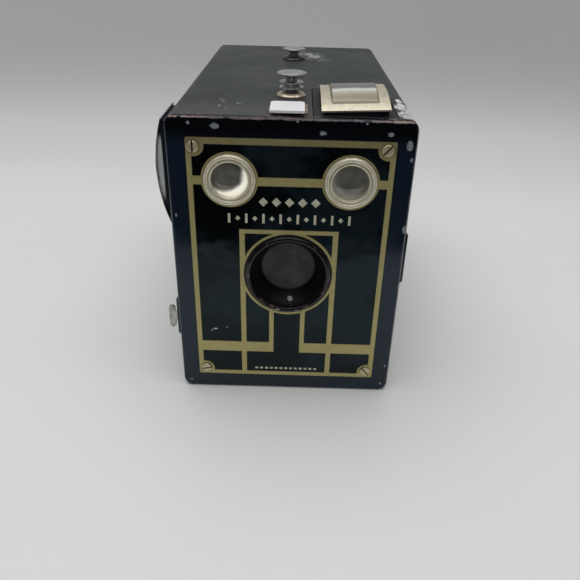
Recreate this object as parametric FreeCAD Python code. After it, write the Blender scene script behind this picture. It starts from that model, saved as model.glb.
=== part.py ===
"""Box camera for roll film, built as separate pieces in millimetres, +Z up.

The casing is a box that is open at the front. The front section, which carries the shutter,
the finders, the light cone and the spools, slides out of it. Shapes are drawn with y counted
backwards from the front face, and put() moves them so that the origin is under the middle.
"""
import os
import FreeCAD
import Part
from math import asin, cos, degrees, pi, radians, sin, sqrt

V = FreeCAD.Vector

# ---- driving dimensions -------------------------------------------------------------------
width = 79.0
height = 105.0
depth = 144.0
corner = 3.5              # corner radius of the outline, seen from the front
casing_inner_r = 2.0      # the same corner on the inside of the casing sheet
back_r = 1.65             # rounding of the rear edges
cover_t = 0.5             # leatherette
wall = 1.2                # casing sheet
rim = 2.6                 # how far the front panel wraps round the sides
fit_gap = 0.5             # front section to casing
run_gap = 0.05            # shaft to bore

lens_z = 50.8             # lens axis, at x = 0
finder_z = 84.9           # axis of both finder lenses
finder_x = 19.5

plate_w = 66.2
plate_low = 6.7
plate_high = 98.6
plate_t = 0.4
trim_t = 0.15

gate_w = 57.0
gate_h = 82.0
gate_y = 137.4            # front of the film gate
cone_y = 14.0             # front of the light cone

spool_y = 60.0
takeup_z = 85.3
supply_z = 16.3
spool_len = 63.0
flange_r = 11.5
boss_r = 4.5

post_x = -0.6
front_post_y = 31.0
rear_post_y = 106.0
front_post_up = 7.8       # head top above the casing, fully raised
rear_post_up = 4.6

window_w = 21.6
window_l = 36.0
window_bow = 3.1

# ---- derived places -----------------------------------------------------------------------
half = width / 2
skin = half - cover_t                 # outside of the casing sheet
inner = skin - wall                   # inside of the casing sheet
roof = height - cover_t - wall        # inside of the casing top
tray_x = inner - fit_gap
carrier_out = 36.4                    # carrier plates: outer and inner face
carrier_in = 35.6
back_y = depth - cover_t - wall       # front face of the back panel

os.makedirs("parts", exist_ok=True)


# ---- shape helpers ------------------------------------------------------------------------
def box(x0, x1, y0, y1, z0, z1):
    return Part.makeBox(x1 - x0, y1 - y0, z1 - z0, V(x0, y0, z0))


def rod_x(r, x0, x1, y, z):
    return Part.makeCylinder(r, x1 - x0, V(x0, y, z), V(1, 0, 0))


def rod_y(r, y0, y1, x, z):
    return Part.makeCylinder(r, y1 - y0, V(x, y0, z), V(0, 1, 0))


def rod_z(r, z0, z1, x, y):
    return Part.makeCylinder(r, z1 - z0, V(x, y, z0), V(0, 0, 1))


def outline(inset, r, y0, y1):
    """The camera's rounded front outline, shrunk by inset, run from y0 to y1."""
    return rounded(-half + inset, half - inset, inset, height - inset, r, y0, y1)


def rounded(x0, x1, z0, z1, r, y0, y1):
    """A block along y with rounded corners in the x-z plane."""
    block = box(x0, x1, y0, y1, z0, z1)
    upright = [e for e in block.Edges if abs(e.tangentAt(0).y) > 0.9]
    return block.makeFillet(r, upright)


def turned(points, x, z):
    """A ring about a line along y through (x, z); points are (radius, y)."""
    ring = Part.makePolygon([V(r, y, 0) for r, y in points + points[:1]])
    solid = Part.Face(ring).revolve(V(0, 0, 0), V(0, 1, 0), 360)
    solid.translate(V(x, 0, z))
    return solid


def plate_yz(points, x0, x1):
    """A flat plate across x whose outline is a list of (y, z)."""
    edge = Part.makePolygon([V(x0, y, z) for y, z in points + points[:1]])
    return Part.Face(edge).extrude(V(x1 - x0, 0, 0))


def plate_xz(points, y0, y1):
    """A flat plate across y whose outline is a list of (x, z)."""
    edge = Part.makePolygon([V(x, y0, z) for x, z in points + points[:1]])
    return Part.Face(edge).extrude(V(0, y1 - y0, 0))


def joined(shapes):
    whole = shapes[0].fuse(shapes[1:])
    return whole.removeSplitter()


def put(name, shape):
    """Moves a piece into the shared frame and writes it."""
    placed = shape.copy()
    placed.translate(V(0, -depth / 2, 0))
    if not placed.isValid() or placed.Volume <= 0:
        print("check this shape:", name)
    placed.exportStep("parts/" + name + ".step")
    print(name, "%.1f mm3" % placed.Volume, len(placed.Solids), "solids")


# ---- openings that the casing and its cover share -----------------------------------------
top_box = (6.9, 33.1, 3.0, 42.6)       # x and y of the upper finder box
side_box = (3.0, 28.2, 65.9, 101.9)    # y and z of the side finder box
lever_guide = (3.0, 13.0, 21.5, 38.5)  # y and z of the shutter lever's guide plate
tab_guide = (3.0, 13.0, 46.2, 66.8)    # y and z of the pull tabs' guide plate
notch_gap = 0.3


def front_notches():
    """Notches in the front edge that let the front section's fittings slide out."""
    g = notch_gap
    low = rim - 1
    top = box(top_box[0] - g, top_box[1] + g, low, top_box[3] + g, height - 4, height + 4)
    side = box(-half - 2, -half + 3.2, low, side_box[1] + g, side_box[2] - g, side_box[3] + g)
    lever = box(-half - 2, -half + 3.2, low, lever_guide[1] + g, lever_guide[2] - g, lever_guide[3] + g)
    tabs = box(half - 3.2, half + 2, low, tab_guide[1] + g, tab_guide[2] - g, tab_guide[3] + g)
    return [top, side, lever, tabs]


def wall_holes(post_r, bush_r):
    """Holes for the two strap posts and for the winding bush."""
    front = rod_z(post_r, height - 5, height + 5, post_x, front_post_y)
    rear = rod_z(post_r, height - 5, height + 5, post_x, rear_post_y)
    bush = rod_x(bush_r, -half - 5, -half + 5, spool_y, takeup_z)
    return [front, rear, bush]


# ---- casing -------------------------------------------------------------------------------
eyelet_barrel_r = 3.0
bush_barrel_r = 5.6
red_hole_r = 6.4
red_x = 17.0
red_z = 37.0
base_top = cover_t + 0.1  # the base cover ends just above its own thickness


def rounded_back(inset, r, y0, y1, edge):
    """The camera's outline as a block whose rear edges are rounded too."""
    block = outline(inset, r, y0, y1)
    return block.makeFillet(edge, [e for e in block.Edges if abs(e.CenterOfMass.y - y1) < 0.01])


def make_shell():
    tube = outline(cover_t, corner - cover_t, rim, back_y)
    tube = tube.cut(outline(cover_t + wall, casing_inner_r, rim - 1, back_y + 1))
    return tube.cut(front_notches() + wall_holes(eyelet_barrel_r, bush_barrel_r))


def make_back_panel():
    lip_y = back_y - 4
    panel = rounded_back(cover_t, corner - cover_t, back_y, back_y + wall, back_r - cover_t)
    lip_t = 0.8
    lip = outline(cover_t + wall, casing_inner_r, lip_y, back_y)
    lip = lip.cut(outline(cover_t + wall + lip_t, casing_inner_r - lip_t, lip_y - 1, back_y))
    return panel.fuse(lip).cut(rod_y(red_hole_r, lip_y, depth, red_x, red_z)).removeSplitter()


def whole_cover():
    """The covering as one skin over the top, sides, base and back."""
    skin_block = rounded_back(0, corner, rim, depth, back_r)
    core = rounded_back(cover_t, corner - cover_t, rim - 1, depth - cover_t, back_r - cover_t)
    red_hole = rod_y(red_hole_r + 0.3, 0, depth + 1, red_x, red_z)
    return skin_block.cut([core, red_hole] + front_notches()
                          + wall_holes(eyelet_barrel_r, bush_barrel_r))


def make_covers():
    """The leatherette: a wrap folded over the rear edges, a strip under the base, a back patch."""
    fold = 5.0
    cover = whole_cover()
    patch = box(-half + fold, half - fold, depth - 1, depth + 1, fold, height - fold)
    under = box(-half - 1, half + 1, 0, depth + 1, -1, base_top)
    put("leatherette_wrap", cover.cut([under, patch]))
    put("leatherette_base", cover.common(under))
    put("leatherette_back", cover.common(patch))


def make_red_window():
    put("red_window", rod_y(7.8, back_y - 0.6, back_y, red_x, red_z))
    ring = rod_y(8.6, back_y - 1.3, back_y - 0.6, red_x, red_z)
    put("red_window_ring", ring.cut(rod_y(6.4, 0, depth, red_x, red_z)))


# ---- strap posts --------------------------------------------------------------------------
stem_r = 2.0
head_r = 5.1
head_t = 0.85
clip_r = 3.5
wall_top = height
post_len = front_post_up + cover_t + wall + 0.9   # head top to the lower end


def eyelet(y):
    """Domed ring that guides a post through the casing top."""
    z = wall_top
    base = roof
    profile = [
        V(stem_r + run_gap, 0, base),
        V(eyelet_barrel_r, 0, base),
        V(eyelet_barrel_r, 0, z),
        V(5.1, 0, z),
        V(5.1, 0, z + 0.35),
        V(4.5, 0, z + 0.95),
        V(3.6, 0, z + 1.2),
        V(2.9, 0, z + 1.15),
        V(2.6, 0, z + 0.8),
        V(stem_r + run_gap, 0, z + 0.3),
    ]
    ring = Part.Face(Part.makePolygon(profile + profile[:1]))
    solid = ring.revolve(V(0, 0, 0), V(0, 0, 1), 360)
    solid.translate(V(post_x, y, 0))
    return solid


def strap_post(y, up):
    """A mushroom head on a stem, raised so that the head's top is `up` above the casing."""
    top = wall_top + up
    head = rod_z(head_r, top - head_t, top, post_x, y)
    head = head.makeFillet(0.35, [e for e in head.Edges if e.Length > 2])
    neck = Part.makeCone(stem_r, stem_r + 1.2, 0.9, V(post_x, y, top - head_t - 0.9), V(0, 0, 1))
    stem = rod_z(stem_r, top - post_len, top - head_t + 0.1, post_x, y)
    return joined([head, neck, stem])


def post_clip(y, up):
    """Retaining ring pressed on the stem just under the casing top."""
    low = wall_top + up - post_len + 0.05
    ring = rod_z(clip_r, low, low + 0.8, post_x, y)
    return ring.cut(rod_z(stem_r, low - 1, low + 2, post_x, y))


def strap_eyelet():
    """The crimped eyelet that the lost strap left on the front post: two lips and a waist."""
    low = wall_top + 2.6
    lips = [rod_z(4.2, low, low + 0.45, post_x, front_post_y)]
    lips.append(rod_z(4.2, low + 1.7, low + 2.15, post_x, front_post_y))
    waist = rod_z(2.9, low + 0.2, low + 2.0, post_x, front_post_y)
    whole = joined(lips + [waist])
    return whole.cut(rod_z(stem_r, low - 1, low + 4, post_x, front_post_y))


def make_posts():
    put("post_eyelets", Part.makeCompound([eyelet(front_post_y), eyelet(rear_post_y)]))
    put("front_strap_post", strap_post(front_post_y, front_post_up))
    put("rear_strap_post", strap_post(rear_post_y, rear_post_up))
    put("front_post_clip", post_clip(front_post_y, front_post_up))
    put("rear_post_clip", post_clip(rear_post_y, rear_post_up))
    put("strap_eyelet", strap_eyelet())


# ---- top catch ----------------------------------------------------------------------------
catch_x0 = -6.9
catch_x1 = 4.0
catch_front = 2.0
catch_pin_y = 14.1
catch_pin_z = height + 0.75
leaf_low = height + 1.22
leaf_t = 0.5
pin_r = 0.2
knuckle_r = 0.42
ear_w = 1.2
ears_x = (-4.8, 0.7)


def make_catch():
    """Base with two ears, a pin, and a leaf that hides its own hinge."""
    base = rounded(-6.4, 5.1, height, height + 0.3, 0.14, 4.6, 17.2)
    ears = []
    for x0 in ears_x:
        ears.append(rod_x(knuckle_r, x0, x0 + ear_w, catch_pin_y, catch_pin_z))
        ears.append(box(x0, x0 + ear_w, catch_pin_y - knuckle_r, catch_pin_y + knuckle_r,
                        height + 0.2, catch_pin_z))
    bore = rod_x(pin_r, catch_x0, catch_x1, catch_pin_y, catch_pin_z)
    put("catch_base", joined([base] + ears).cut(bore))
    put("catch_pin", rod_x(pin_r, ears_x[0], ears_x[1] + ear_w, catch_pin_y, catch_pin_z))

    leaf = box(catch_x0, catch_x1, catch_front, catch_pin_y + 0.5, leaf_low, leaf_low + leaf_t)
    rear = [e for e in leaf.Edges if abs(e.tangentAt(0).z) > 0.9 and e.CenterOfMass.y > 10]
    leaf = leaf.makeFillet(1.6, rear)
    lip = box(catch_x0, catch_x1, catch_front, catch_front + leaf_t, leaf_low - 0.3, leaf_low + 0.1)
    knuckle_x = (ears_x[0] + ear_w + 0.1, ears_x[1] - 0.1)
    knuckle = rod_x(knuckle_r, *knuckle_x, catch_pin_y, catch_pin_z)
    web = box(*knuckle_x, catch_pin_y - 0.3, catch_pin_y + 0.3, catch_pin_z, leaf_low + 0.1)
    clear_bore = rod_x(pin_r + run_gap, catch_x0, catch_x1, catch_pin_y, catch_pin_z)
    put("catch_plate", joined([leaf, lip, knuckle, web]).cut(clear_bore))


# ---- winding key --------------------------------------------------------------------------
shaft_r = 3.2
flat_half = 2.6           # the shaft has two flats, this far from its axis
hub_r = 4.4
blade_t = 1.2
blade_tip = -33.9
knob_r = 9.0
knob_in = -half - 1.7
knob_out = -half - 8.0
ratchet_x0 = -inner + 0.15
ratchet_x1 = -inner + 0.8
tooth_count = 16
ratchet_r = 7.5


def key_bar(r, flat, x0, x1):
    """A round bar along x with two flats, on the winding axis."""
    bar = rod_x(r, x0, x1, spool_y, takeup_z)
    return bar.common(box(x0, x1, spool_y - r, spool_y + r, takeup_z - flat, takeup_z + flat))


def make_winding():
    barrel = rod_x(bush_barrel_r, -half, -inner, spool_y, takeup_z)
    flange = rod_x(7.6, -half - 1.1, -half, spool_y, takeup_z)
    bore = rod_x(hub_r + run_gap, -half - 2, -half + 4, spool_y, takeup_z)
    put("winding_bush", joined([barrel, flange]).cut(bore))

    tips = []
    for k in range(tooth_count):
        for r, lead in ((ratchet_r, 0.0), (ratchet_r - 1.1, 0.06)):
            a = 2 * pi * (k + lead) / tooth_count
            tips.append((spool_y + r * cos(a), takeup_z + r * sin(a)))
    wheel = plate_yz(tips, ratchet_x0, ratchet_x1)
    hub = rod_x(hub_r, -half - 0.9, ratchet_x0 + 0.3, spool_y, takeup_z)
    bore = key_bar(shaft_r + run_gap, flat_half + run_gap, -half - 2, -half + 6)
    put("ratchet_wheel", joined([wheel, hub]).cut(bore))

    foot = box(-inner, -inner + 0.5, spool_y + 12, spool_y + 17, takeup_z + 6, takeup_z + 9)
    finger = plate_yz([(spool_y + 12, takeup_z + 9), (spool_y + 12, takeup_z + 7.8),
                       (spool_y + 2.2, takeup_z + 7.6), (spool_y + 2.2, takeup_z + 8.4)],
                      -inner, -inner + 0.5)
    put("winding_pawl", joined([foot, finger]))

    shaft = key_bar(shaft_r, flat_half, knob_out + 1.2, -carrier_out - 0.2)
    blade = box(-carrier_out - 0.3, blade_tip, spool_y - shaft_r, spool_y + shaft_r,
                takeup_z - blade_t / 2, takeup_z + blade_t / 2)
    put("winding_shaft", joined([shaft, blade]))

    knob = rod_x(knob_r, knob_out, knob_in, spool_y, takeup_z)
    face = [e for e in knob.Edges if e.CenterOfMass.x < knob_out + 0.1 and e.Length > 5]
    knob = knob.makeFillet(1.0, face)
    grooves = []
    count = 27
    for k in range(count):
        a = 2 * pi * k / count
        y = spool_y + (knob_r + 0.35) * cos(a)
        z = takeup_z + (knob_r + 0.35) * sin(a)
        grooves.append(rod_x(0.75, knob_out + 1.6, knob_in - 1.2, y, z))
    hollow = rod_x(6.5, knob_out - 1, knob_out + 0.8, spool_y, takeup_z)
    boss = rod_x(4.6, knob_out + 0.2, knob_out + 2, spool_y, takeup_z)
    knob = knob.cut(grooves + [hollow]).fuse(boss)
    put("winding_knob", knob.cut(key_bar(shaft_r, flat_half, knob_out + 1.2, 0)))


# ---- front panel, face plate and its lines ------------------------------------------------
hood_r = 15.1             # lens hood barrel
bezel_flange_r = 8.5
bezel_barrel_r = 7.6
screw_places = ((-30.8, 95.6, 90), (30.2, 95.9, 48), (-30.2, 9.6, 10), (30.3, 9.8, -48))


def finder_axes():
    return ((-finder_x, finder_z), (finder_x, finder_z))


def make_front_panel():
    """Enamelled tray whose face carries everything that shows from the front."""
    edge_r = 1.1
    tray = outline(0, corner, 0, rim)
    face_edges = [e for e in tray.Edges if abs(e.CenterOfMass.y) < 0.01]
    tray = tray.makeFillet(edge_r, face_edges)
    tray = tray.cut(outline(1.2, corner - 1.2, 1.0, rim + 1))
    holes = [rod_y(hood_r, -1, 5, 0, lens_z)]
    holes += [rod_y(bezel_barrel_r, -1, 5, x, z) for x, z in finder_axes()]
    holes += [rod_y(1.0, -1, 5, x, z) for x, z, turn in screw_places]
    put("front_panel", tray.cut(holes))


def make_face_plate():
    plate = rounded(-plate_w / 2, plate_w / 2, plate_low, plate_high, 0.7, -plate_t, 0)
    holes = [rod_y(hood_r, -1, 1, 0, lens_z)]
    holes += [rod_y(bezel_barrel_r, -1, 1, x, z) for x, z in finder_axes()]
    holes += [rod_y(1.0, -1, 1, x, z) for x, z, turn in screw_places]
    put("face_plate", plate.cut(holes))


line_y0 = -plate_t - trim_t
border_x = 31.25          # inner edge of the side borders
border_low = 8.4
border_high = 96.4
lobe_r = 3.5


def bar(x0, x1, z0, z1):
    return box(x0, x1, line_y0, -plate_t, z0, z1)


def ring_line(outer, inside, x, z):
    return rod_y(outer, line_y0, -plate_t, x, z).cut(rod_y(inside, -2, 1, x, z))


def make_face_trim():
    """Raised brass lines: border, corner lobes, cross bar, finder rings, centre frame."""
    slab = rounded(-plate_w / 2, plate_w / 2, plate_low, plate_high, 0.7, line_y0, -plate_t)
    lines = [slab.cut(box(-border_x, border_x, -2, 1, border_low, border_high))]
    for side in (-1, 1):
        for z in (plate_low + 2.4, plate_high - 2.7):
            lobe = rod_y(lobe_r, line_y0, -plate_t, side * 30.7, z)
            lines.append(lobe.common(slab))
    lines.append(bar(-border_x, border_x, 83.1, 86.1))
    lines.append(bar(-16.75, 16.75, 66.2, 67.8))
    for side in (-1, 1):
        edge = sorted((side * 14.8, side * 16.75))
        lines.append(bar(edge[0], edge[1], border_low - 0.2, 67.0))
        edge = sorted((side * 4.75, side * 6.5))
        lines.append(bar(edge[0], edge[1], 21.0, 36.4))
        edge = sorted((side * 4.75, side * (border_x + 0.2)))
        lines.append(bar(edge[0], edge[1], 17.5, 21.95))
    inside = [rod_y(15.35, -2, 1, 0, lens_z)]
    lines.append(ring_line(16.35, 15.35, 0, lens_z))
    for x, z in finder_axes():
        lines.append(ring_line(9.3, 8.6, x, z))
        inside.append(rod_y(8.6, -2, 1, x, z))
    inside += [rod_y(1.0, -2, 1, x, z) for x, z, turn in screw_places]
    put("face_trim", joined(lines).cut(inside))


def make_screws():
    screws = []
    for x, z, turn in screw_places:
        head = rod_y(1.95, line_y0 - 0.75, line_y0, x, z)
        crown = [e for e in head.Edges if e.CenterOfMass.y < line_y0 - 0.7 and e.Length > 5]
        head = head.makeFillet(0.5, crown)
        shank = rod_y(1.0, line_y0 - 0.1, 1.0, x, z)
        slot = box(-2.5, 2.5, line_y0 - 1, line_y0 - 0.35, -0.28, 0.28)
        slot.rotate(V(0, 0, 0), V(0, 1, 0), -turn)
        slot.translate(V(x, 0, z))
        screws.append(joined([head, shank]).cut(slot))
    put("face_screws", Part.makeCompound(screws))


# ---- lens hood and finder fronts ----------------------------------------------------------
hole_r = 9.5
hood_floor = 5.4


def make_lens_hood():
    """Black funnel with a rolled rim; the shutter disc shows through its floor."""
    mouth_r = 13.1
    funnel = turned([(hood_r, -plate_t), (hood_r, hood_floor + 0.5), (hole_r, hood_floor + 0.5),
                     (hole_r, hood_floor), (mouth_r, 0.2), (mouth_r, -1.0), (hood_r - 1, -1.0)],
                    0, lens_z)
    roll = Part.makeTorus(mouth_r + 0.85, 0.85, V(0, -1.1, lens_z), V(0, 1, 0))
    put("lens_hood", joined([funnel, roll]))


def finder_bezel(x, z):
    """Stepped bright ring: a flange, two beads and a barrel through the panel."""
    flange = turned([(5.9, -plate_t - 0.65), (bezel_flange_r, -plate_t - 0.45),
                     (bezel_flange_r, -plate_t), (5.9, -plate_t)], x, z)
    barrel = turned([(5.9, -plate_t - 0.3), (bezel_barrel_r, -plate_t - 0.3),
                     (bezel_barrel_r, 2.4), (5.9, 2.4)], x, z)
    outer = Part.makeTorus(7.7, 0.75, V(x, -plate_t - 0.75, z), V(0, 1, 0))
    inner_bead = Part.makeTorus(6.4, 0.42, V(x, -plate_t - 0.75, z), V(0, 1, 0))
    return joined([flange, barrel, outer, inner_bead]).cut(rod_y(5.9, -4, 6, x, z))


def finder_lens(x, z):
    """Plano-convex finder lens, domed to the front."""
    r, back, edge_y, bulge = 5.88, 1.8, 0.3, 1.25
    dome_r = (r * r + bulge * bulge) / (2 * bulge)
    ball = Part.makeSphere(dome_r, V(x, edge_y - bulge + dome_r, z))
    cap = ball.common(rod_y(r, edge_y - bulge - 0.1, edge_y, x, z))
    return joined([cap, rod_y(r, edge_y, back, x, z)])


def make_finder_fronts():
    put("finder_bezels", Part.makeCompound([finder_bezel(x, z) for x, z in finder_axes()]))
    for side, (x, z) in zip(("left", "right"), finder_axes()):
        put("finder_lens_" + side, finder_lens(x, z))


# ---- finder boxes, mirrors and windows ----------------------------------------------------
sheet = 0.8               # tinplate of the finder boxes
frame_t = 0.5
neck_half_w = window_w / 2 - 0.6
neck_half_l = window_l / 2 - 0.6
hole_half_w = 7.55
hole_half_l = 14.2
bow_r = ((window_l / 2) ** 2 + window_bow ** 2) / (2 * window_bow)


def bowed(r, crown):
    """A cylinder across u whose highest line is at height crown."""
    return Part.makeCylinder(r, 60, V(-30, 0, crown - r), V(1, 0, 0))


def window_frame():
    """Bowed bright frame, drawn lying flat: u across, v along, w up from its rim."""
    top = frame_t + window_bow
    block = box(-window_w / 2, window_w / 2, -window_l / 2, window_l / 2, 0, 20)
    corners = [e for e in block.Edges if abs(e.tangentAt(0).z) > 0.9]
    block = block.makeFillet(0.4, corners)
    sheet_metal = block.common(bowed(bow_r, top)).cut(bowed(bow_r, top - frame_t))
    hole = box(-hole_half_w, hole_half_w, -hole_half_l, hole_half_l, -1, 20)
    hole = hole.makeFillet(1.0, [e for e in hole.Edges if abs(e.tangentAt(0).z) > 0.9])
    return sheet_metal.cut(hole)


def window_glass():
    """Bulged finder glass that fills the frame's opening."""
    glass_r = 33.0
    crown = frame_t + window_bow + 0.9
    g = 0.08
    block = box(-hole_half_w + g, hole_half_w - g, -hole_half_l + g, hole_half_l - g, 0, 20)
    block = block.makeFillet(0.9, [e for e in block.Edges if abs(e.tangentAt(0).z) > 0.9])
    return block.common(bowed(glass_r, crown)).cut(bowed(glass_r - 1.4, crown - 1.4))


def window_neck(depth_below):
    """Riser between a finder box and the underside of its bowed frame."""
    outer = box(-neck_half_w, neck_half_w, -neck_half_l, neck_half_l, -depth_below, 20)
    hollow = box(-neck_half_w + sheet, neck_half_w - sheet,
                 -neck_half_l + sheet, neck_half_l - sheet, -depth_below - 1, 21)
    return outer.cut(hollow).common(bowed(bow_r, window_bow))


top_window_x = 20.0
top_window_y = 22.0
top_window_rise = 1.35    # rim of the frame above the casing top, on its middle line
top_window_roll = 2.4     # the upper window sits slightly askew: its right side is higher
side_window_y = 15.2
side_window_z = 84.6
side_window_rise = 0.75
side_window_roll = 2.0    # the side one too: its upper end stands further out


def on_top(shape):
    shape = shape.copy()
    shape.rotate(V(0, 0, 0), V(0, 1, 0), -top_window_roll)
    shape.translate(V(top_window_x, top_window_y, height + top_window_rise))
    return shape


def on_side(shape):
    """Lying-flat shape to the left side: w points to -x, v up, u to the front."""
    shape = shape.copy()
    shape.rotate(V(0, 0, 0), V(1, 0, 0), 90 + side_window_roll)
    shape.rotate(V(0, 0, 0), V(0, 0, 1), -90)
    shape.translate(V(-half - side_window_rise, side_window_y, side_window_z))
    return shape


def hollow_box(x0, x1, y0, y1, z0, z1):
    return box(x0, x1, y0, y1, z0, z1).cut(
        box(x0 + sheet, x1 - sheet, y0 + sheet, y1 - sheet, z0 + sheet, z1 - sheet))


top_box_low = 70.5
top_box_high = height - 0.1
side_box_x0 = -half + 0.1
side_box_x1 = -8.4


def make_top_finder():
    x0, x1, y0, y1 = top_box
    case = hollow_box(x0, x1, y0, y1, top_box_low, top_box_high)
    mouth = rod_y(6.6, y0 - 1, y0 + 2, finder_x, finder_z)
    neck = on_top(window_neck(1.6)).common(box(x0, x1, y0, y1, top_box_high - 0.4, height + 12))
    well = on_top(box(-neck_half_w + sheet, neck_half_w - sheet, -neck_half_l + sheet,
                      neck_half_l - sheet, -3.2, 0.5))
    put("finder_box_top", joined([case.cut([mouth, well]), neck.cut(well)]))

    run = 29.5
    low_y, low_z, t = y0 + 3.0, top_box_low + 1.6, 0.7
    put("finder_mirror_top", plate_yz(
        [(low_y, low_z), (low_y + t, low_z - t), (low_y + run + t, low_z + run - t),
         (low_y + run, low_z + run)], x0 + sheet, x1 - sheet))
    put("window_frame_top", on_top(window_frame()))
    put("window_glass_top", on_top(window_glass()))


def make_side_finder():
    y0, y1, z0, z1 = side_box
    case = hollow_box(side_box_x0, side_box_x1, y0, y1, z0, z1)
    mouth = rod_y(6.6, y0 - 1, y0 + 2, -finder_x, finder_z)
    neck = on_side(window_neck(1.6)).common(
        box(-half - 12, side_box_x0 + 0.4, y0, y1, z0, z1))
    well = on_side(box(-neck_half_w + sheet, neck_half_w - sheet, -neck_half_l + sheet,
                       neck_half_l - sheet, -2.2, 0.4))
    put("finder_box_side", joined([case.cut([mouth, well]), neck.cut(well)]))

    run, t = 21.0, 0.7
    near_x, near_y = side_box_x1 - 1.6, y0 + 2.4
    outline_xy = [V(near_x, near_y, 0), V(near_x + t, near_y + t, 0),
                  V(near_x - run + t, near_y + run + t, 0), V(near_x - run, near_y + run, 0)]
    slab = Part.Face(Part.makePolygon(outline_xy + outline_xy[:1]))
    slab = slab.extrude(V(0, 0, z1 - z0 - 2 * sheet))
    slab.translate(V(0, 0, z0 + sheet))
    put("finder_mirror_side", slab)
    put("window_frame_side", on_side(window_frame()))
    put("window_glass_side", on_side(window_glass()))


# ---- tray behind the panel and the shutter ------------------------------------------------
tray_low = cover_t + wall + fit_gap
tray_high = roof - fit_gap
tray_back = 16.0
tray_r = 2.4
shutter_y = 9.6           # front of the shutter plate
disc_x = -8.0
disc_z = 40.0
disc_r = 22.9
disc_y = 6.4
pivot_r = 1.5
lever_x = -14.0
lever_z = 26.5
lever_y = 8.3
guide_proud = 1.3
tab_slots = ((58.0, 63.0), (49.0, 54.0))   # z of the aperture tab and of the time tab


def lever_way():
    """Room for the shutter lever to swing through the left side."""
    return box(-half - 4, -tray_x + 4, 7.6, 10.0, 23.8, 35.8)


def tab_ways():
    return [box(tray_x - 4, half + 4, 7.0, 9.1, z0 - 0.3, z1 + 0.3) for z0, z1 in tab_slots]


def make_tray():
    """Four walls that guide the front section in the casing."""
    tube = rounded(-tray_x, tray_x, tray_low, tray_high, tray_r, 1.0, tray_back)
    tube = tube.cut(rounded(-tray_x + sheet, tray_x - sheet, tray_low + sheet, tray_high - sheet,
                            tray_r - sheet, 0, tray_back + 1))
    x0, x1, y0, y1 = top_box
    gaps = [box(x0, x1, y0, tray_back + 1, tray_high - 3, height)]
    y0, y1, z0, z1 = side_box
    gaps.append(box(-half, -tray_x + 3, y0, tray_back + 1, z0, z1))
    put("front_tray", tube.cut(gaps + [lever_way()] + tab_ways()))


def guide_plate(side, y0, y1, z0, z1):
    """Flat guide with sloping ends that stands a little proud of the camera's side."""
    root = side * tray_x
    flush = side * half
    face = side * (half + guide_proud)
    points = [(root, z0), (flush, z0), (face, z0 + guide_proud), (face, z1 - guide_proud),
              (flush, z1), (root, z1)]
    return plate_xz(points, y0, y1)


def make_guides():
    put("lever_guide", guide_plate(-1, *lever_guide).cut(lever_way()))
    put("tab_guide", guide_plate(1, *tab_guide).cut(tab_ways()))


def make_shutter_plate():
    plate = rounded(-tray_x + sheet, tray_x - sheet, tray_low + sheet, side_box[2] - 1,
                    tray_r - sheet, shutter_y, shutter_y + 0.8)
    holes = [rod_y(7.0, 0, 20, 0, lens_z)]
    holes += [rod_y(1.0, 0, 20, x, z) for x, z in rivet_places]
    holes += [rod_y(pivot_r, 0, 20, x, z) for x, z in ((disc_x, disc_z), (lever_x, lever_z))]
    put("shutter_plate", plate.cut(holes))


aperture_travel = 12.0
time_travel = 6.0
aperture_y = 7.3
time_y = 8.3
blade_sheet = 0.5
rivet_places = ((26.0, 60.5), (29.0, 51.5))


def make_shutter_disc():
    """Round shutter blade with one window, turning on an off-centre pivot."""
    reach = sqrt(disc_x ** 2 + (lens_z - disc_z) ** 2)
    lens_at = degrees(asin((lens_z - disc_z) / reach))
    away = radians(lens_at + 100)
    disc = rod_y(disc_r, disc_y, disc_y + blade_sheet, disc_x, disc_z)
    window = rod_y(6.5, 0, 20, disc_x + reach * cos(away), disc_z + reach * sin(away))
    bore = rod_y(pivot_r + run_gap, 0, 20, disc_x, disc_z)
    put("shutter_disc", disc.cut([window, bore]))


def make_shutter_lever():
    """Flat lever: a hub on its pivot, an arm through the side and a rounded thumb piece."""
    tip_x = -45.0
    thumb_x = -half - guide_proud - 1.8
    y0, y1 = lever_y, lever_y + 0.9
    hub = rod_y(4.2, y0, y1, lever_x, lever_z)
    arm = box(thumb_x - 1, lever_x, y0, y1, lever_z - 2.0, lever_z + 2.0)
    thumb = rounded(tip_x, thumb_x, lever_z - 4.8, lever_z + 4.8, 1.15, y0, y1)
    tail = plate_xz([(lever_x, lever_z - 1.6), (lever_x + 8, lever_z + 3.6),
                     (lever_x + 7, lever_z + 5.6), (lever_x, lever_z + 2.4)], y0, y1)
    lever = joined([hub, arm, thumb, tail])
    put("shutter_lever", lever.cut(rod_y(pivot_r + run_gap, 0, 20, lever_x, lever_z)))

    coils = [Part.makeTorus(2.5, 0.22, V(lever_x, y, lever_z), V(0, 1, 0))
             for y in (lever_y - 0.3, lever_y - 0.7)]
    legs = [rod_x(0.2, lever_x - 9, lever_x, lever_y - 0.3, lever_z - 2.5),
            rod_x(0.2, lever_x, lever_x + 8, lever_y - 0.7, lever_z + 2.5)]
    bridge = rod_y(0.2, lever_y - 0.7, lever_y - 0.3, lever_x + 2.5, lever_z)
    put("shutter_spring", joined(coils + legs + [bridge]))


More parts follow.
